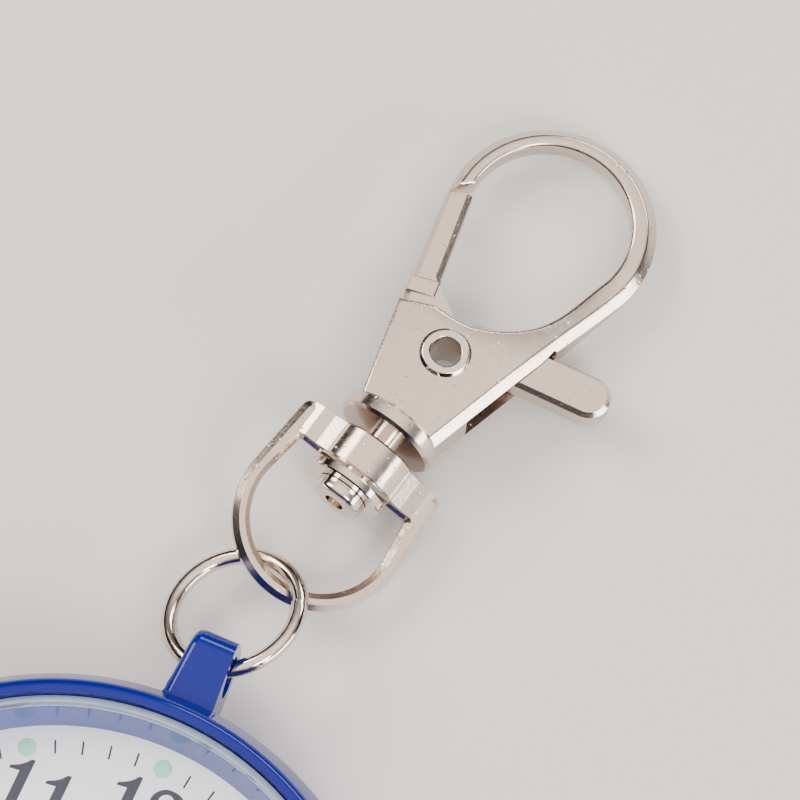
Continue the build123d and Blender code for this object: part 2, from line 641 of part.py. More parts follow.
def make_hook_outline():
    """Plan of the hook: flared body, long curved loop and the slanting end of its nose."""
    foot_left = (-2.75, 0.3)
    flank_top = tangent_point(FOOT_RIGHT, LOOP_CENTRE, LOOP_R)
    crown_of_loop = polar(LOOP_R, 90, LOOP_CENTRE)
    nose_outer = polar(LOOP_R, 195, LOOP_CENTRE)
    nose_inner = polar(HOLLOW_R, 187, HOLLOW_CENTRE)
    hollow_top = polar(HOLLOW_R, 90, HOLLOW_CENTRE)
    hollow_right = polar(HOLLOW_R, -15, HOLLOW_CENTRE)
    shoulder = (-2.5, 8.4)
    left_top = (-4.8, 7.4)
    edges = Line(foot_left, FOOT_RIGHT)
    edges += Line(FOOT_RIGHT, flank_top)
    edges += ThreePointArc(flank_top, crown_of_loop, nose_outer)
    edges += Line(nose_outer, nose_inner)
    edges += ThreePointArc(nose_inner, hollow_top, hollow_right)
    edges += Spline(hollow_right, (3.48, 11.05), (0.48, 8.75), shoulder,
                    tangents=[(-0.26, -0.97), (-1, 0)])
    edges += Line(shoulder, left_top)
    edges += Line(left_top, foot_left)
    return make_face(edges)


def make_hook_side():
    """Side view of the hook: thick over the trigger's slot, easing down to the slim loop."""
    upper = Line((-1, BODY_HALF), (NECK_START, BODY_HALF))
    upper += Spline((NECK_START, BODY_HALF), (NECK_END, LOOP_HALF), tangents=[(1, 0), (1, 0)])
    upper += Line((NECK_END, LOOP_HALF), (26, LOOP_HALF))
    ends = Line((-1, BODY_HALF), (-1, -BODY_HALF)) + Line((26, LOOP_HALF), (26, -LOOP_HALF))
    return make_face(upper + ends + mirror(upper, Plane.XZ))


def on_flank(point):
    """Whether a point lies above or below the hook's straight right flank."""
    top = tangent_point(FOOT_RIGHT, LOOP_CENTRE, LOOP_R)
    run, rise = top[0] - FOOT_RIGHT[0], top[1] - FOOT_RIGHT[1]
    aside = (point.X - FOOT_RIGHT[0]) * rise - (point.Y - FOOT_RIGHT[1]) * run
    return abs(aside) / hypot(run, rise) < FIT and point.Y < top[1]


def rim_edges(body):
    """The edges round the hook's two faces, without those that cross it or border the flange."""
    rim = body.edges().filter_by(lambda edge: abs(edge.center().Z) > LOOP_HALF - FIT)
    rim = rim.filter_by(lambda edge: edge.center().Y > 0.4)
    return [edge for edge in rim if edge.geom_type != GeomType.LINE or abs((edge % 0.5).X) < 0.99]


def make_hook_body():
    """Die-cast hook: round flange, slotted body with bevelled edges, and the loop."""
    plan = Pos(0, 0, -BODY_HALF) * extrude(make_hook_outline(), 2 * BODY_HALF)
    body = plan & Pos(-12, 0, 0) * extrude(Plane.YZ * make_hook_side(), 24)
    flank = [edge for edge in rim_edges(body) if on_flank(edge.center())]
    body = chamfer(flank, FLANK_BEVEL)
    rest = [edge for edge in rim_edges(body) if edge.center().X < 2 or edge.center().Y > FLANK_TOP_Y]
    body = fillet(rest, RIM_ROUND)
    flange = chamfer(along_y(FLANGE_R, -FLANGE_HALF, FLANGE_HALF).edges().filter_by(GeomType.CIRCLE), 0.22)
    body += flange
    slot = [(-2.9, 3.2), (7, 3.2), (7, 11.1), (1.0, 9.7), (-2.0, 12), (-8, 12), (-8, 6.9), (-3.1, 5.9)]
    body -= slab(slot, -SLOT_HALF, SLOT_HALF)
    body -= disc(EYELET_R, -5, 5, *PIVOT)
    return body - along_y(PIN_R, -2, 2.2)


def make_trigger():
    """Trigger: gate arm with a collar, hub on the eyelet and thumb lever, in one casting."""
    gate = [(-6.83, 15.65), (-5.32, 16.52), (-3.39, 10.0), (-0.6, 8.3), PIVOT, (-2.5, 6.2), (-4.85, 8.4)]
    arm = slab(gate, -TRIGGER_HALF, TRIGGER_HALF)
    arm = chamfer(arm.edges().filter_by(lambda edge: edge.length > 5), 0.35)
    collar = slab([(-4.9, 8.3), (-5.2, 9.45), (-3.33, 10.2), (-3.0, 8.95)], -1.15, 1.15)
    collar = chamfer(collar.edges().filter_by(Axis.Z, reverse=True), 0.12)
    lever_start = polar(-LEVER_LENGTH, LEVER_ANGLE, LEVER_END)
    lever_middle = polar(-LEVER_LENGTH / 2, LEVER_ANGLE, LEVER_END)
    lever = Pos(*lever_middle) * Rot(0, 0, LEVER_ANGLE) * SlotCenterToCenter(LEVER_LENGTH, 2 * LEVER_R)
    lever = Pos(0, 0, -TRIGGER_HALF) * extrude(lever, 2 * TRIGGER_HALF)
    lever = chamfer(lever.edges().filter_by(Axis.Z, reverse=True), 0.3)
    web = slab([PIVOT, (-0.6, 8.3), lever_start, (2.0, 6.2)], -TRIGGER_HALF, TRIGGER_HALF)
    trigger = arm + collar + lever + web + disc(HUB_R, -TRIGGER_HALF, TRIGGER_HALF, *PIVOT)
    trigger -= disc(2.05, 0.1, 2, *PIVOT)
    return trigger - disc(EYELET_R + 0.05, -5, 5, *PIVOT)


def make_eyelet():
    """Hollow rivet through both cheeks, rolled over in a low bead on each face."""
    face = BODY_HALF
    bead = 0.24
    outline = [(EYELET_HOLE_R, -face - bead), (EYELET_HEAD_R - 0.2, -face - bead), (EYELET_HEAD_R, -face),
               (EYELET_R, -face), (EYELET_R, face), (EYELET_HEAD_R, face), (EYELET_HEAD_R - 0.2, face + bead),
               (EYELET_HOLE_R, face + bead)]
    eyelet = turned(outline)
    beads = eyelet.edges().filter_by(lambda edge: abs(abs(edge.center().Z) - face - bead) < 0.01)
    return Pos(*PIVOT, 0) * fillet(beads, 0.12)


def make_trigger_spring():
    """Torsion spring round the eyelet, with a leg to the body's web and one to the lever."""
    wire_r = 0.13
    coil_r = 1.62
    coil = Helix(pitch=0.32, height=0.72, radius=coil_r)
    section = Plane(coil @ 0, z_dir=coil % 0) * Circle(wire_r)
    spring = sweep(section, path=coil, is_frenet=True)
    for end, reach in ((coil @ 0, -1.1), (coil @ 1, 1.3)):
        tangent = coil % 0 if reach < 0 else coil % 1
        leg = Plane(end, z_dir=tangent) * extrude(Circle(wire_r), reach)
        spring += leg
    return Pos(*PIVOT, 0.3) * Rot(0, 0, 185) * spring


nodes["hook_body"] = hook_frame * make_hook_body()
nodes["trigger"] = hook_frame * make_trigger()
nodes["pivot_eyelet"] = hook_frame * make_eyelet()
nodes["trigger_spring"] = hook_frame * make_trigger_spring()


for name, shape in nodes.items():
    shape.label = name
    export_step(shape, "parts/" + name + ".step")
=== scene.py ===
import json
from math import cos, radians, sin

import bpy
from mathutils import Matrix, Vector


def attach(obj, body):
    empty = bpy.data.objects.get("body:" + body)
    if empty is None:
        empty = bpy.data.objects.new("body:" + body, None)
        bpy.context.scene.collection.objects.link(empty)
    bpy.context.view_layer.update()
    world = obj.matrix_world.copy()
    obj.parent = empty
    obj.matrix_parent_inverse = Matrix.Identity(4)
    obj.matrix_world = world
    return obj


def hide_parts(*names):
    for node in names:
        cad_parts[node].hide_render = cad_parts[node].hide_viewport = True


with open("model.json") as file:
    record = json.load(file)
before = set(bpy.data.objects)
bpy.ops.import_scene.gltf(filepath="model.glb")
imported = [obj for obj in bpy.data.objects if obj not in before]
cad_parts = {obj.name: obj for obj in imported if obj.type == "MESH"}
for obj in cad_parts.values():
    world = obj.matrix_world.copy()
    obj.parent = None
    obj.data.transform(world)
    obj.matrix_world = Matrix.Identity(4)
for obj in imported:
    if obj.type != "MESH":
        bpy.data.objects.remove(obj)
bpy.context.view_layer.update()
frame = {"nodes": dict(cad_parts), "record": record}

# ---- Table top ----
# A sheet of pale satin laminate that the watch lies on. It is not part of the watch,
# and runs well past the view so that no edge shows.
MM = 0.001
TABLE_WIDTH = 3000 * MM
TABLE_DROP = 0.02 * MM
bpy.ops.object.select_all(action="DESELECT")
bpy.ops.mesh.primitive_plane_add(size=TABLE_WIDTH, location=(0, 0, -TABLE_DROP))
table_top = bpy.context.object
table_top.name = "table_top"


def linear(hex_colour):
    """A linear colour with alpha from an sRGB hex value."""
    shares = [int(hex_colour[i:i + 2], 16) / 255 for i in (1, 3, 5)]
    return [s / 12.92 if s <= 0.04045 else ((s + 0.055) / 1.055) ** 2.4 for s in shares] + [1.0]


def add(material, kind, settings=None, links=None):
    """Adds a node to a material; settings are its properties or sockets, links its inputs' sources."""
    tree = material.node_tree
    if kind == "shader":
        node = tree.nodes["Principled BSDF"]
    else:
        node = tree.nodes.new("ShaderNode" + kind)
    for name, value in (settings or {}).items():
        if isinstance(name, int) or name in node.inputs:
            node.inputs[name].default_value = value
        else:
            setattr(node, name, value)
    for name, source in (links or {}).items():
        tree.links.new(source, node.inputs[name])
    return node


def new_material(name):
    """An empty shader material, and the object coordinates that its patterns are laid out on."""
    material = bpy.data.materials.new(name)
    material.use_nodes = True
    place = add(material, "TexCoord").outputs["Object"]
    return material, place


# Satin laminate: a faint unevenness of gloss and nothing else
laminate, place = new_material("satin_pale_laminate")
cloud = add(laminate, "TexNoise", {"Scale": 12.0, "Detail": 3.0}, {"Vector": place})
gloss = add(laminate, "MapRange", {"To Min": 0.5, "To Max": 0.62}, {"Value": cloud.outputs["Fac"]})
add(laminate, "shader", {"Base Color": linear("#D9D8D6"), "Specular IOR Level": 0.3},
    {"Roughness": gloss.outputs["Result"]})
table_top.data.materials.append(laminate)

# ---- Light and camera ----
# A pale dome that darkens towards the horizon, three soft boxes, and a low strip that draws the
# long highlight on the hook's flank, seen by a long lens seventeen degrees off the vertical.
world = bpy.data.worlds.new("studio")
bpy.context.scene.world = world
world.use_nodes = True
skyward = add(world, "SeparateXYZ", {}, {"Vector": add(world, "TexCoord").outputs["Generated"]})
dome = add(world, "ValToRGB", {}, {"Fac": skyward.outputs["Z"]})
dome.color_ramp.elements[0].color = linear("#0E0E10")
dome.color_ramp.elements[0].position = 0.36
dome.color_ramp.elements[1].color = linear("#FFF4EC")
dome.color_ramp.elements[1].position = 0.9
shade = dome.color_ramp.elements.new(0.66)
shade.color = linear("#8C8B8D")
backdrop = world.node_tree.nodes["Background"]
world.node_tree.links.new(dome.outputs["Color"], backdrop.inputs["Color"])
backdrop.inputs["Strength"].default_value = 2.1


def soft_box(name, place, target, size, power, colour="#FFFFFF"):
    """A rectangular light that faces a point."""
    light = bpy.data.lights.new(name, "AREA")
    light.shape = "RECTANGLE"
    light.size, light.size_y = size
    light.energy = power
    light.color = linear(colour)[:3]
    lamp = bpy.data.objects.new(name, light)
    bpy.context.scene.collection.objects.link(lamp)
    heading = Vector(target) - Vector(place)
    lamp.rotation_euler = heading.to_track_quat("-Z", "Y").to_euler()
    lamp.location = place
    return lamp


middle = (0.003, 0.035, 0.0)
soft_box("left_box", (-0.48, 0.12, 0.42), middle, (0.34, 0.26), 3.4, "#FFF6EE")
soft_box("right_box", (0.36, -0.26, 0.46), middle, (0.22, 0.22), 2.4)
soft_box("back_box", (0.12, 0.62, 0.34), middle, (0.5, 0.16), 2.2)
soft_box("flank_strip", (0.62, -0.09, 0.15), middle, (0.6, 0.2), 3.6)

lens = bpy.data.cameras.new("long_lens")
lens.sensor_width = 36
lens.lens = 225
lens.clip_start = 0.01
camera = bpy.data.objects.new("long_lens", lens)
bpy.context.scene.collection.objects.link(camera)
CAMERA_AT = (0.0427, -0.0411, 0.3166)
ahead = Vector((-0.1203, 0.2665, -0.9563)).normalized()
upward = Vector((-0.3935, 0.8716, 0.2924)).normalized()
across = ahead.cross(upward).normalized()
upward = across.cross(ahead)
turn = Matrix((across, upward, -ahead)).transposed().to_4x4()
camera.matrix_world = Matrix.Translation(CAMERA_AT) @ turn
bpy.context.scene.camera = camera

# ---- Case back and gaskets ----
# A pressed stainless lid, turned in a lathe so that it keeps fine rings about its centre, over
# a black nitrile gasket. The same rubber seals the crown.
JOIN_REACH = 0.001 * MM
SMOOTH_UP_TO = radians(24)


def dress(material, *names):
    """Gives CAD nodes a material."""
    for name in names:
        piece = frame["nodes"][name]
        if not piece.material_slots:
            piece.data.materials.append(material)
        for slot in piece.material_slots:
            slot.material = material


def joined_up(material, *names):
    """CAD nodes copied with their loose triangles joined, so that their curved faces shade smooth."""
    record = frame["record"]
    bodies = {node: body for body, nodes in record["behaviour"]["bodies"].items() for node in nodes}
    for name in names:
        piece = bpy.data.objects.new(name + "_piece", frame["nodes"][name].data.copy())
        bpy.context.scene.collection.objects.link(piece)
        bpy.ops.object.select_all(action="DESELECT")
        piece.select_set(True)
        bpy.context.view_layer.objects.active = piece
        if piece.data.has_custom_normals:
            bpy.ops.mesh.customdata_custom_splitnormals_clear()
        bpy.ops.object.mode_set(mode="EDIT")
        bpy.ops.mesh.select_all(action="SELECT")
        bpy.ops.mesh.remove_doubles(threshold=JOIN_REACH)
        bpy.ops.object.mode_set(mode="OBJECT")
        bpy.ops.object.shade_smooth_by_angle(angle=SMOOTH_UP_TO)
        piece.data.materials.clear()
        piece.data.materials.append(material)
        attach(piece, bodies[name])
        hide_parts(name)


# Circular brushed stainless steel: rings 0.12 mm apart, drawn coarse enough to show
back_steel, place = new_material("circular_brushed_stainless")
radius = add(back_steel, "VectorMath", {"operation": "LENGTH"}, {0: place})
rings = add(back_steel, "TexNoise", {"noise_dimensions": "1D", "Scale": 8000.0, "Detail": 2.0},
            {"W": radius.outputs["Value"]})
sheen = add(back_steel, "MapRange", {"To Min": 0.24, "To Max": 0.42}, {"Value": rings.outputs["Fac"]})
grooves = add(back_steel, "Bump", {"Strength": 0.25, "Distance": 0.02 * MM},
              {"Height": rings.outputs["Fac"]})
add(back_steel, "shader", {"Base Color": linear("#C9C8C6"), "Metallic": 1.0},
    {"Roughness": sheen.outputs["Result"], "Normal": grooves.outputs["Normal"]})
joined_up(back_steel, "case_back")

# Black nitrile rubber: matt, with a faint bloom
nitrile, place = new_material("moulded_black_nitrile")
bloom = add(nitrile, "TexNoise", {"Scale": 900.0, "Detail": 4.0}, {"Vector": place})
tone = add(nitrile, "ValToRGB", {}, {"Fac": bloom.outputs["Fac"]})
tone.color_ramp.elements[0].color = linear("#151516")
tone.color_ramp.elements[1].color = linear("#232325")
add(nitrile, "shader", {"Roughness": 0.7}, {"Base Color": tone.outputs["Color"]})
dress(nitrile, "case_back_gasket", "crown_gasket")

# ---- Movement ----
# A small quartz movement: grained brass plates, cut brass wheels, polished steel work, a coil of
# enamelled copper on a soft iron core, a green circuit board and a steel button cell.

# Each metal of the movement: its colour, roughness, grain in mm, and the nodes made of it
movement_metals = (
    ("grained_brass", "#C9AE6B", 0.30, 0.10,
     ("main_plate", "train_bridge", "cannon_pinion", "centre_wheel")),
    ("cut_wheel_brass", "#D6B86E", 0.18, 0.05,
     ("third_wheel", "fourth_wheel", "fifth_wheel", "minute_wheel", "hour_wheel")),
    ("polished_watch_steel", "#B9B9BC", 0.20, 0.06,
     ("bridge_screws", "stem", "clutch_pinion", "clutch_lever", "setting_lever", "battery_clamp", "rotor")),
    ("annealed_soft_iron", "#97928D", 0.45, 0.15, ("coil_core", "stator")),
    ("bright_cell_can", "#C8C8C6", 0.22, 0.20, ("battery", "quartz_can")),
    ("drawn_spring_wire", "#A2A2A5", 0.25, 0.08, ("trigger_spring",)),
)
for name, colour, rough, grain, names in movement_metals:
    metal, place = new_material(name)
    speckle = add(metal, "TexNoise", {"Scale": 1.0 / (grain * MM), "Detail": 3.0}, {"Vector": place})
    sheen = add(metal, "MapRange", {"To Min": rough * 0.7, "To Max": rough * 1.3},
                {"Value": speckle.outputs["Fac"]})
    relief = add(metal, "Bump", {"Strength": 0.15, "Distance": 0.01 * MM},
                 {"Height": speckle.outputs["Fac"]})
    add(metal, "shader", {"Base Color": linear(colour), "Metallic": 1.0},
        {"Roughness": sheen.outputs["Result"], "Normal": relief.outputs["Normal"]})
    dress(metal, *names)

# Enamelled copper: turns 0.1 mm apart round the core, under clear enamel
copper, place = new_material("enamelled_copper_winding")
turns = add(copper, "TexWave", {"Scale": 1600.0, "bands_direction": "X"}, {"Vector": place})
tone = add(copper, "ValToRGB", {}, {"Fac": turns.outputs["Fac"]})
tone.color_ramp.elements[0].color = linear("#6E3417")
tone.color_ramp.elements[1].color = linear("#C9783F")
add(copper, "shader", {"Metallic": 0.8, "Roughness": 0.3, "Coat Weight": 0.6},
    {"Base Color": tone.outputs["Color"]})
dress(copper, "coil_winding")

# Each plastic of the movement: its darker and lighter tone, roughness, mottle in mm, and its nodes
plastics = (
    ("natural_acetal", "#DAD9D2", "#E6E5DF", 0.42, 1.2, ("movement_holder",)),
    ("green_solder_mask", "#0F3F22", "#1B5A33", 0.35, 0.5, ("circuit_board",)),
    ("black_potting_epoxy", "#0C0C0D", "#1C1C1E", 0.45, 0.3, ("driver_chip",)),
)
for name, dark, light, rough, grain, names in plastics:
    plastic, place = new_material(name)
    mottle = add(plastic, "TexNoise", {"Scale": 1.0 / (grain * MM), "Detail": 3.0}, {"Vector": place})
    tone = add(plastic, "ValToRGB", {}, {"Fac": mottle.outputs["Fac"]})
    tone.color_ramp.elements[0].color = linear(dark)
    tone.color_ramp.elements[1].color = linear(light)
    add(plastic, "shader", {"Roughness": rough}, {"Base Color": tone.outputs["Color"]})
    dress(plastic, *names)

# ---- Dial ----
# A thin brass disc, stamped and lacquered cool white. Minute ticks are pad printed on it in dark
# grey, and a drop of luminous compound is laid at each hour.

# White dial lacquer: satin, with a trace of orange peel 0.4 mm across
lacquer, place = new_material("cool_white_dial_lacquer")
peel = add(lacquer, "TexNoise", {"Scale": 2500.0, "Detail": 2.0}, {"Vector": place})
tone = add(lacquer, "ValToRGB", {}, {"Fac": peel.outputs["Fac"]})
tone.color_ramp.elements[0].color = linear("#F6F8FE")
tone.color_ramp.elements[1].color = linear("#FDFEFF")
relief = add(lacquer, "Bump", {"Strength": 0.05, "Distance": 0.01 * MM}, {"Height": peel.outputs["Fac"]})
add(lacquer, "shader", {"Roughness": 0.45},
    {"Base Color": tone.outputs["Color"], "Normal": relief.outputs["Normal"]})
joined_up(lacquer, "dial")

DIAL_FACE = 6.1 * MM


def only(piece):
    """Leaves one object selected and active."""
    bpy.ops.object.select_all(action="DESELECT")
    piece.select_set(True)
    bpy.context.view_layer.objects.active = piece


def in_place(piece, move=Matrix.Identity(4)):
    """Puts a piece's place into its mesh, so that its object sits unturned at the origin."""
    piece.data.transform(move @ piece.matrix_world)
    piece.matrix_world = Matrix.Identity(4)
    return piece


def joined(pieces, name):
    """Several pieces made one."""
    only(pieces[0])
    for piece in pieces[1:]:
        piece.select_set(True)
    bpy.ops.object.join()
    pieces[0].name = name
    return pieces[0]


def copied(piece, name, move):
    """A copy of a piece with its own mesh, moved."""
    twin = piece.copy()
    twin.data = piece.data.copy()
    twin.name = name
    bpy.context.scene.collection.objects.link(twin)
    twin.data.transform(move)
    return twin


def settled(piece, body, slot, material, *nodes):
    """Gives a finished piece its material, the body it rides on and the CAD nodes it stands for."""
    piece.data.materials.clear()
    piece.data.materials.append(material)
    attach(piece, body)
    if nodes:
        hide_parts(*nodes)
    return piece


# Minute ticks: pad printed lines with softly rounded corners, left out where a dot stands
TICK_IN = 16.4 * MM
TICK_OUT = 17.3 * MM
TICK_WIDTH = 0.13 * MM
PRINT = 0.012 * MM
bpy.ops.mesh.primitive_cube_add(size=1, location=(0, (TICK_IN + TICK_OUT) / 2, DIAL_FACE + PRINT / 2),
                                scale=(TICK_WIDTH, TICK_OUT - TICK_IN, PRINT))
first_tick = in_place(bpy.context.object)
only(first_tick)
bpy.ops.object.mode_set(mode="EDIT")
bpy.ops.mesh.select_all(action="SELECT")
bpy.ops.mesh.bevel(offset=PRINT * 0.4, segments=1)
bpy.ops.object.mode_set(mode="OBJECT")
ticks = [first_tick]
for minute in range(2, 60):
    if minute % 5:
        ticks.append(copied(first_tick, "tick", Matrix.Rotation(-radians(6 * minute), 4, "Z")))
first_tick.data.transform(Matrix.Rotation(-radians(6), 4, "Z"))
minute_ticks = joined(ticks, "minute_ticks")

# Dark grey dial ink: matt, a little uneven where the pad laid it down
ink, place = new_material("dark_grey_pad_ink")
patches = add(ink, "TexNoise", {"Scale": 1800.0, "Detail": 4.0}, {"Vector": place})
tone = add(ink, "ValToRGB", {}, {"Fac": patches.outputs["Fac"]})
tone.color_ramp.elements[0].color = linear("#29272C")
tone.color_ramp.elements[1].color = linear("#37353A")
add(ink, "shader", {"Roughness": 0.7, "Specular IOR Level": 0.25}, {"Base Color": tone.outputs["Color"]})
settled(minute_ticks, "watch_case", "dial_white", ink)

# Luminous dots: low domes of pale green compound, one for each hour
DOT_R = 0.61 * MM
DOT_FLATTENING = 0.16
DOT_AT = 16.9 * MM
bpy.ops.mesh.primitive_uv_sphere_add(segments=24, ring_count=12, radius=DOT_R,
                                     location=(0, DOT_AT, DIAL_FACE), scale=(1, 1, DOT_FLATTENING))
first_dot = in_place(bpy.context.object)
only(first_dot)
bpy.ops.object.mode_set(mode="EDIT")
bpy.ops.mesh.select_all(action="SELECT")
bpy.ops.mesh.bisect(plane_co=(0, 0, DIAL_FACE), plane_no=(0, 0, 1), clear_inner=True, use_fill=True,
                    threshold=0.0001 * MM)
bpy.ops.object.mode_set(mode="OBJECT")
bpy.ops.object.shade_smooth_by_angle(angle=radians(40))
dots = [first_dot]
for hour in range(1, 12):
    dots.append(copied(first_dot, "dot", Matrix.Rotation(-radians(30 * hour), 4, "Z")))
hour_dots = joined(dots, "hour_dots")

# Luminous compound: chalky pale green with pigment grains 0.1 mm across
glow, place = new_material("pale_green_luminous_compound")
grains = add(glow, "TexVoronoi", {"Scale": 9000.0}, {"Vector": place})
tone = add(glow, "ValToRGB", {}, {"Fac": grains.outputs["Distance"]})
tone.color_ramp.elements[0].color = linear("#A9F0C8")
tone.color_ramp.elements[1].color = linear("#8FE0B4")
add(glow, "shader", {"Roughness": 0.6}, {"Base Color": tone.outputs["Color"]})
settled(hour_dots, "watch_case", "dial_white", glow)

# ---- Numerals ----
# Upright bold numerals, pad printed round the dial in the same dark grey ink as the ticks.
# Each digit is drawn as closed curves in a box one unit high, with thick stems and hair serifs.
NUMERAL_AT = 13.4 * MM
NUMERAL_HEIGHT = 4.9 * MM
DIGIT_WIDTH = 0.52
DIGIT_PITCH = 2.55 * MM

# Points are (x, y) where the line is smooth and (x, y, 0) at a corner
DIGITS = {
    "1": [[(0.10, 0.00, 0), (0.10, 0.03, 0), (0.19, 0.05), (0.20, 0.12, 0), (0.20, 0.80, 0),
           (0.06, 0.78, 0), (0.06, 0.82, 0), (0.20, 0.90), (0.29, 1.00, 0), (0.34, 1.00, 0),
           (0.34, 0.12, 0), (0.36, 0.05), (0.44, 0.03, 0), (0.44, 0.00, 0)]],
    "2": [[(0.02, 0.00, 0), (0.02, 0.08, 0), (0.20, 0.30), (0.34, 0.55), (0.35, 0.80), (0.24, 0.93),
           (0.12, 0.84), (0.18, 0.72), (0.09, 0.65), (0.02, 0.76), (0.09, 0.94), (0.26, 1.00),
           (0.45, 0.92), (0.50, 0.74), (0.42, 0.50), (0.22, 0.22), (0.17, 0.14, 0), (0.38, 0.14),
           (0.46, 0.27, 0), (0.50, 0.27, 0), (0.46, 0.00, 0)]],
    "3": [[(0.03, 0.80), (0.10, 0.95), (0.25, 1.00), (0.42, 0.93), (0.47, 0.77), (0.41, 0.60),
           (0.32, 0.54, 0), (0.45, 0.46), (0.50, 0.28), (0.42, 0.07), (0.24, 0.00), (0.08, 0.04),
           (0.02, 0.17), (0.10, 0.27), (0.17, 0.18), (0.15, 0.09), (0.25, 0.05), (0.34, 0.14),
           (0.36, 0.29), (0.31, 0.44), (0.18, 0.50, 0), (0.18, 0.54, 0), (0.30, 0.62), (0.33, 0.77),
           (0.24, 0.94), (0.13, 0.88), (0.17, 0.79), (0.10, 0.71)]],
    "4": [[(0.30, 0.00, 0), (0.30, 0.23, 0), (0.01, 0.23, 0), (0.01, 0.31, 0), (0.36, 1.00, 0),
           (0.43, 1.00, 0), (0.43, 0.34, 0), (0.52, 0.34, 0), (0.52, 0.23, 0), (0.43, 0.23, 0),
           (0.43, 0.00, 0)],
          [(0.30, 0.34, 0), (0.30, 0.74, 0), (0.09, 0.34, 0)]],
    "5": [[(0.10, 1.00, 0), (0.06, 0.46, 0), (0.11, 0.46, 0), (0.23, 0.54), (0.33, 0.45), (0.36, 0.30),
           (0.32, 0.12), (0.22, 0.05), (0.14, 0.09), (0.17, 0.18), (0.10, 0.26), (0.02, 0.17),
           (0.08, 0.04), (0.24, 0.00), (0.43, 0.09), (0.50, 0.31), (0.43, 0.53), (0.27, 0.61),
           (0.12, 0.56, 0), (0.14, 0.86, 0), (0.42, 0.86), (0.46, 1.00, 0)]],
    "6": [[(0.46, 0.98, 0), (0.22, 0.88), (0.06, 0.64), (0.02, 0.36), (0.09, 0.08), (0.26, 0.00),
           (0.44, 0.08), (0.50, 0.30), (0.43, 0.51), (0.28, 0.58), (0.17, 0.52, 0), (0.22, 0.78),
           (0.46, 0.94, 0)],
          [(0.26, 0.52), (0.34, 0.44), (0.36, 0.28), (0.32, 0.10), (0.26, 0.05), (0.19, 0.10),
           (0.16, 0.30), (0.18, 0.46)]],
    "7": [[(0.12, 0.00, 0), (0.18, 0.32), (0.42, 0.84, 0), (0.14, 0.84), (0.07, 0.74, 0),
           (0.03, 0.74, 0), (0.05, 1.00, 0), (0.50, 1.00, 0), (0.50, 0.90, 0), (0.32, 0.42),
           (0.28, 0.00, 0)]],
    "8": [[(0.26, 0.00), (0.44, 0.06), (0.51, 0.26), (0.46, 0.44), (0.37, 0.54), (0.45, 0.63),
           (0.48, 0.78), (0.41, 0.95), (0.26, 1.00), (0.11, 0.95), (0.04, 0.78), (0.07, 0.63),
           (0.15, 0.54), (0.06, 0.44), (0.01, 0.26), (0.08, 0.06)],
          [(0.26, 0.05), (0.17, 0.11), (0.15, 0.27), (0.18, 0.42), (0.26, 0.50), (0.34, 0.42),
           (0.37, 0.27), (0.35, 0.11)],
          [(0.26, 0.57), (0.20, 0.64), (0.18, 0.78), (0.21, 0.91), (0.26, 0.95), (0.31, 0.91),
           (0.34, 0.78), (0.32, 0.64)]],
    "0": [[(0.26, 0.00), (0.43, 0.13), (0.50, 0.50), (0.43, 0.87), (0.26, 1.00), (0.09, 0.87),
           (0.02, 0.50), (0.09, 0.13)],
          [(0.26, 0.05), (0.18, 0.16), (0.16, 0.50), (0.18, 0.84), (0.26, 0.95), (0.34, 0.84),
           (0.36, 0.50), (0.34, 0.16)]],
}
# A nine is a six turned upside down
DIGITS["9"] = [[(DIGIT_WIDTH - point[0], 1.0 - point[1]) + tuple(point[2:]) for point in loop]
               for loop in DIGITS["6"]]


def digit(figure, middle_x, middle_y):
    """One printed digit, upright, as a thin mesh round a point of the dial."""
    curve = bpy.data.curves.new("digit", "CURVE")
    curve.dimensions = "2D"
    curve.fill_mode = "BOTH"
    curve.resolution_u = 8
    curve.extrude = PRINT / 2
    for loop in DIGITS[figure]:
        spline = curve.splines.new("BEZIER")
        spline.bezier_points.add(len(loop) - 1)
        spline.use_cyclic_u = True
        for knot, point in zip(spline.bezier_points, loop):
            knot.co = (point[0] - DIGIT_WIDTH / 2, point[1] - 0.5, 0)
            kind = "VECTOR" if len(point) == 3 else "AUTO"
            knot.handle_left_type = kind
            knot.handle_right_type = kind
    drawn = bpy.data.objects.new("digit", curve)
    bpy.context.scene.collection.objects.link(drawn)
    only(drawn)
    bpy.ops.object.convert(target="MESH")
    drawn = bpy.context.object
    size = Matrix.Diagonal((NUMERAL_HEIGHT, NUMERAL_HEIGHT, 1, 1))
    drawn.data.transform(Matrix.Translation((middle_x, middle_y, DIAL_FACE + PRINT / 2)) @ size)
    return drawn


drawn_digits = []
for hour in range(1, 13):
    at_x = NUMERAL_AT * sin(radians(30 * hour))
    at_y = NUMERAL_AT * cos(radians(30 * hour))
    figures = str(hour)
    for place_in_pair, figure in enumerate(figures):
        shift = (place_in_pair - (len(figures) - 1) / 2) * DIGIT_PITCH
        drawn_digits.append(digit(figure, at_x + shift, at_y))
numerals = joined(drawn_digits, "numerals")
settled(numerals, "watch_case", "dial_white", ink)

# ---- Inner ring ----
# A polished lilac ring that slopes from the crystal down to the dial, bright enough to mirror
# the ticks and dots printed beside it.

# Polished lilac-blue moulding: mirror smooth, with a swirl too faint to break the reflections
lilac, place = new_material("polished_lilac_moulding")
swirl = add(lilac, "TexNoise", {"Scale": 700.0, "Detail": 2.0}, {"Vector": place})
tone = add(lilac, "ValToRGB", {}, {"Fac": swirl.outputs["Fac"]})
tone.color_ramp.elements[0].color = linear("#424A92")
tone.color_ramp.elements[1].color = linear("#4C559E")
add(lilac, "shader", {"Roughness": 0.07, "IOR": 1.52},
    {"Base Color": tone.outputs["Color"]})
joined_up(lilac, "rehaut_ring")

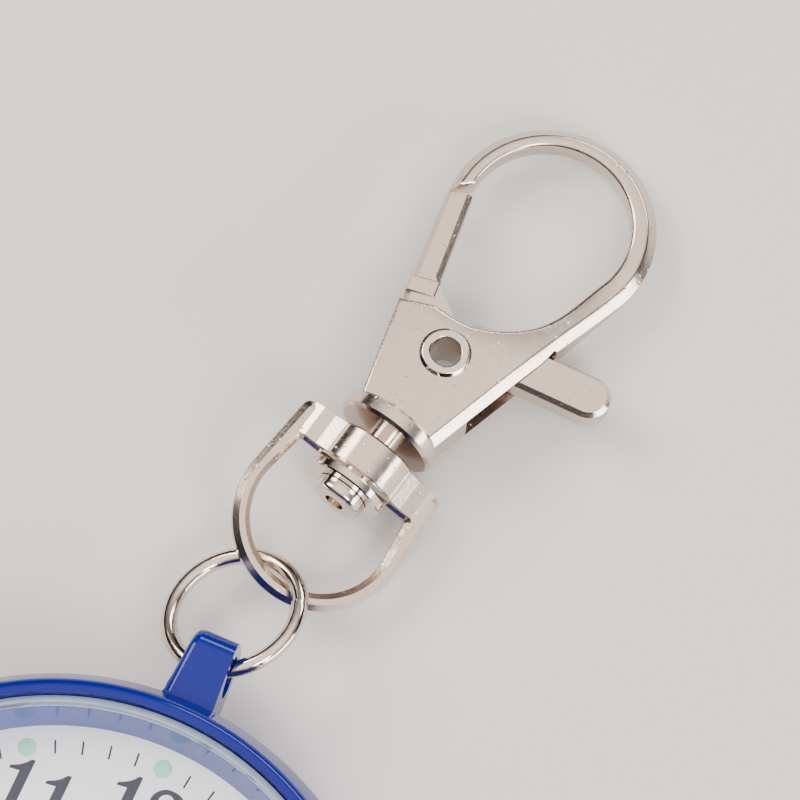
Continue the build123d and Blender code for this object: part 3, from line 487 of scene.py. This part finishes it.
# ---- Hands ----
# Three stamped hands on the dial's centre: the hour and minute hands lacquered dark grey with a
# strip of luminous compound laid in, and a thin sweep seconds hand.
hand_lacquer, place = new_material("dark_grey_hand_lacquer")
flow = add(hand_lacquer, "TexNoise", {"Scale": 1500.0, "Detail": 3.0}, {"Vector": place})
tone = add(hand_lacquer, "ValToRGB", {}, {"Fac": flow.outputs["Fac"]})
tone.color_ramp.elements[0].color = linear("#3A383D")
tone.color_ramp.elements[1].color = linear("#48464C")
add(hand_lacquer, "shader", {"Roughness": 0.35, "Coat Weight": 0.4}, {"Base Color": tone.outputs["Color"]})
dress(hand_lacquer, "hour_hand", "minute_hand", "second_hand")

# Each luminous strip: its hand's body, clockwise angle, ends along the hand, width and height
STRIPS = (("hours", 304.3, 2.2, 7.6, 0.7, 6.57), ("minutes", 51.6, 3.0, 11.0, 0.45, 6.93))
STRIP_DEPTH = 0.03
for body, angle, start, end, width, height in STRIPS:
    strip_middle = (0, (start + end) / 2 * MM, (height + STRIP_DEPTH / 2) * MM)
    bpy.ops.mesh.primitive_cube_add(size=1, location=strip_middle,
                                    scale=(width * MM, (end - start) * MM, STRIP_DEPTH * MM))
    strip = in_place(bpy.context.object, Matrix.Rotation(-radians(angle), 4, "Z"))
    strip.name = body + "_luminous_strip"
    only(strip)
    bpy.ops.object.mode_set(mode="EDIT")
    bpy.ops.mesh.select_all(action="SELECT")
    bpy.ops.mesh.bevel(offset=0.012 * MM, segments=2)
    bpy.ops.object.mode_set(mode="OBJECT")
    settled(strip, body, "hand_paint", glow)

# ---- Crystal ----
# A flat disc of clear acrylic pressed into the bezel over a white silicone gasket. The light that
# its bevelled edge catches is painted on as a pale ring.

# White silicone rubber: satin, with a mottle 0.8 mm across
silicone, place = new_material("white_silicone_rubber")
mottle = add(silicone, "TexNoise", {"Scale": 1250.0, "Detail": 3.0}, {"Vector": place})
tone = add(silicone, "ValToRGB", {}, {"Fac": mottle.outputs["Fac"]})
tone.color_ramp.elements[0].color = linear("#DDE2EA")
tone.color_ramp.elements[1].color = linear("#EBEEF4")
add(silicone, "shader", {"Roughness": 0.5}, {"Base Color": tone.outputs["Color"]})
dress(silicone, "crystal_gasket")

# Clear polished acrylic: see-through over the dial, with a painted highlight at the edge, where it turns
# pale and nearly opaque
acrylic, place = new_material("clear_acrylic_painted_rim_highlight")
flat = add(acrylic, "VectorMath", {"operation": "MULTIPLY", 1: (1, 1, 0)}, {0: place})
radius = add(acrylic, "VectorMath", {"operation": "LENGTH"}, {0: flat.outputs["Vector"]})
# Painted highlight: past 18.93 mm the crystal fades up to a nearly opaque pale blue-white, standing in for
# the light caught by its bevel
edge = add(acrylic, "MapRange",
           {"From Min": 18.93 * MM, "From Max": 19.0 * MM, "To Min": 0.03, "To Max": 0.6},
           {"Value": radius.outputs["Value"]})
add(acrylic, "shader", {"Base Color": linear("#B9CFEA"), "Roughness": 0.04, "IOR": 1.49},
    {"Alpha": edge.outputs["Result"]})
joined_up(acrylic, "crystal")

# ---- Case ----
# Injection moulded in glossy blue ABS, one piece with its lug. The gloss is nearly perfect: only
# a slow ripple from the mould and a few specks of dust under the finish.

# Glossy moulded blue ABS: ripple 6 mm across, dust specks 0.1 mm across
blue_abs, place = new_material("glossy_moulded_blue_abs")
ripple = add(blue_abs, "TexNoise", {"Scale": 160.0, "Detail": 1.0}, {"Vector": place})
tone = add(blue_abs, "ValToRGB", {}, {"Fac": ripple.outputs["Fac"]})
tone.color_ramp.elements[0].color = linear("#07116E")
tone.color_ramp.elements[1].color = linear("#0A177A")
dust = add(blue_abs, "TexNoise", {"Scale": 9000.0, "Detail": 2.0}, {"Vector": place})
specks = add(blue_abs, "MapRange", {"From Min": 0.68, "From Max": 0.78, "To Min": 0.1, "To Max": 0.22},
             {"Value": dust.outputs["Fac"]})
relief = add(blue_abs, "Bump", {"Strength": 0.12, "Distance": 0.04 * MM}, {"Height": ripple.outputs["Fac"]})
add(blue_abs, "shader", {"IOR": 1.48, "Specular IOR Level": 0.3},
    {"Base Color": tone.outputs["Color"], "Roughness": specks.outputs["Result"],
     "Normal": relief.outputs["Normal"]})
joined_up(blue_abs, "case_body")

# The lug's outer edges are rounded off; its cross hole and its foot keep their edges
LUG_SIDE_X = 1.2 * MM
LUG_FOOT_Y = 22.1 * MM
LUG_HOLE = Vector((24.25, 5.05)) * MM
LUG_HOLE_CLEAR = 1.55 * MM
LUG_ROUND = 0.5 * MM
case_piece = bpy.data.objects["case_body_piece"]
only(case_piece)
bpy.context.tool_settings.mesh_select_mode = (False, True, False)
bpy.ops.object.mode_set(mode="EDIT")
bpy.ops.mesh.select_all(action="DESELECT")
bpy.ops.mesh.edges_select_sharp(sharpness=radians(50))
bpy.ops.object.mode_set(mode="OBJECT")
points = [vertex.co for vertex in case_piece.data.vertices]
for edge in case_piece.data.edges:
    ends = [points[end] for end in edge.vertices]
    clear_of_foot = max(end.y for end in ends) > LUG_FOOT_Y
    on_side = all(abs(end.x) > LUG_SIDE_X and (end.yz - LUG_HOLE).length > LUG_HOLE_CLEAR for end in ends)
    edge.select = edge.select and clear_of_foot and on_side
bpy.ops.object.mode_set(mode="EDIT")
bpy.ops.mesh.bevel(offset=LUG_ROUND, segments=4)
bpy.ops.object.mode_set(mode="OBJECT")
bpy.ops.object.shade_smooth_by_angle(angle=SMOOTH_UP_TO)

# ---- Crown ----
# A fluted brass crown, turned and bright plated, and the tube that guides its stem into the case.
# The plate is worn a little by fingers.

# Bright plate on turned brass: nearly a mirror, dulled in patches under a millimetre across
plate, place = new_material("bright_plated_crown_brass")
wear = add(plate, "TexNoise", {"Scale": 1400.0, "Detail": 4.0}, {"Vector": place})
sheen = add(plate, "MapRange", {"To Min": 0.08, "To Max": 0.24}, {"Value": wear.outputs["Fac"]})
add(plate, "shader", {"Base Color": linear("#CFC8C0"), "Metallic": 1.0},
    {"Roughness": sheen.outputs["Result"]})
joined_up(plate, "crown", "stem_tube")

# ---- Jump ring ----
# One turn of round steel wire, bright nickel plated and cut with side cutters, so the two ends
# meet a little out of line.

# Bright nickel plate on wire: almost a mirror, with fine drawing marks
wire_nickel, place = new_material("bright_nickel_on_wire")
marks = add(wire_nickel, "TexNoise", {"Scale": 2600.0, "Detail": 4.0}, {"Vector": place})
sheen = add(wire_nickel, "MapRange", {"To Min": 0.06, "To Max": 0.2}, {"Value": marks.outputs["Fac"]})
relief = add(wire_nickel, "Bump", {"Strength": 0.08, "Distance": 0.01 * MM},
             {"Height": marks.outputs["Fac"]})
add(wire_nickel, "shader", {"Base Color": linear("#D6C7BB"), "Metallic": 1.0},
    {"Roughness": sheen.outputs["Result"], "Normal": relief.outputs["Normal"]})
joined_up(wire_nickel, "jump_ring")

# ---- Swivel eye, hook and trigger ----
# Zinc die castings, tumbled and nickel plated. The plate follows the casting's skin, so the broad
# faces carry a fine pebble and scattered pin holes while the edges are burnished bright.

# Bright nickel on a zinc casting: pebble 0.25 mm across, and pin holes drawn as coarse as 0.2 mm to show
cast_nickel, place = new_material("bright_nickel_on_zinc_casting")
pebble = add(cast_nickel, "TexNoise", {"Scale": 4200.0, "Detail": 3.0, "Roughness": 0.6}, {"Vector": place})
pits = add(cast_nickel, "TexVoronoi", {"Scale": 1500.0, "Randomness": 1.0}, {"Vector": place})
pinholes = add(cast_nickel, "MapRange", {"From Min": 0.06, "From Max": 0.16, "To Min": -2.5, "To Max": 0.0},
               {"Value": pits.outputs["Distance"]})
surface = add(cast_nickel, "Math", {"operation": "ADD"},
              {0: pebble.outputs["Fac"], 1: pinholes.outputs["Result"]})
relief = add(cast_nickel, "Bump", {"Strength": 0.35, "Distance": 0.02 * MM},
             {"Height": surface.outputs["Value"]})
sheen = add(cast_nickel, "MapRange", {"To Min": 0.12, "To Max": 0.26}, {"Value": pebble.outputs["Fac"]})
tone = add(cast_nickel, "ValToRGB", {}, {"Fac": pebble.outputs["Fac"]})
tone.color_ramp.elements[0].color = linear("#CDBDB1")
tone.color_ramp.elements[1].color = linear("#D9CABF")
add(cast_nickel, "shader", {"Metallic": 1.0},
    {"Base Color": tone.outputs["Color"], "Roughness": sheen.outputs["Result"],
     "Normal": relief.outputs["Normal"]})
joined_up(cast_nickel, "swivel_eye", "hook_body", "trigger")

# ---- Rivet, washer and eyelet ----
# The rivet that the eye turns on, its washer, and the eyelet that the trigger turns on: turned and
# rolled steel, nickel plated.

# Bright nickel on turned steel: smoother than the castings, rubbed in patches 0.3 mm across
rivet_nickel, place = new_material("bright_nickel_on_turned_steel")
rub = add(rivet_nickel, "TexNoise", {"Scale": 3000.0, "Detail": 3.0}, {"Vector": place})
sheen = add(rivet_nickel, "MapRange", {"To Min": 0.07, "To Max": 0.2}, {"Value": rub.outputs["Fac"]})
add(rivet_nickel, "shader", {"Base Color": linear("#D9CDC3"), "Metallic": 1.0},
    {"Roughness": sheen.outputs["Result"]})
joined_up(rivet_nickel, "swivel_pin", "swivel_washer", "pivot_eyelet")
